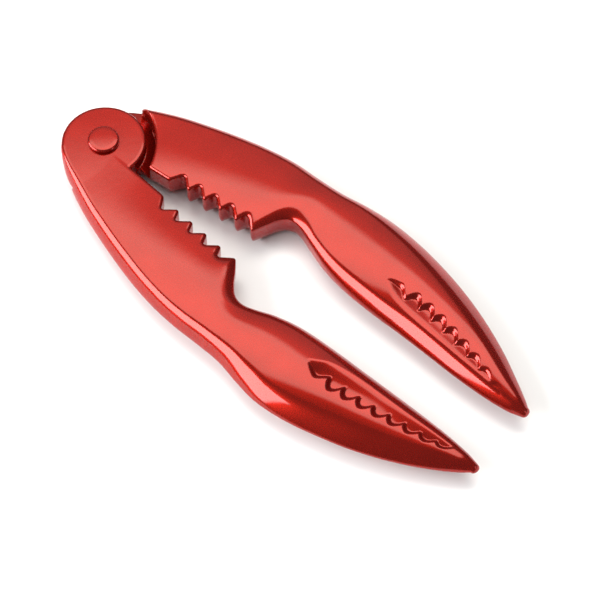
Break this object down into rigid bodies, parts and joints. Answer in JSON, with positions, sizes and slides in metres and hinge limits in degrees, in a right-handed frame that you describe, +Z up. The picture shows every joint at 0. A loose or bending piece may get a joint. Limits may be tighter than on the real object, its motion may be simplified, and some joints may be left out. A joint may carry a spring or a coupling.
{
  "type": "lobster cracker",
  "caption": "Claw-shaped seafood cracker: two toothed cast arms joined by a rivet at a half-lapped round hub, handles shaped as claws with a leaf-shaped groove.",
  "frame": {"origin": "on the pivot axis, at the flat face of the rivet's lower head, which is the plane of the table", "axes": "+X along the line midway between the two arms, from the hub to the claw tips; +Z up along the pivot axis"},
  "size_m": [0.1853, 0.0801, 0.0132],
  "materials": {
    "red_paint": "glossy red lacquer over die-cast metal"
  },
  "bodies": {
    "right_arm": {"right_arm": "red_paint", "pivot_rivet": "red_paint"},
    "left_arm": {"left_arm": "red_paint"}
  },
  "joints": [
    {"name": "pivot", "type": "hinge", "parent": "right_arm", "child": "left_arm", "pos_m": [0, 0, 0.0066], "axis": [0, 0, 1], "range_deg": [-6.5, 157]}
  ]
}
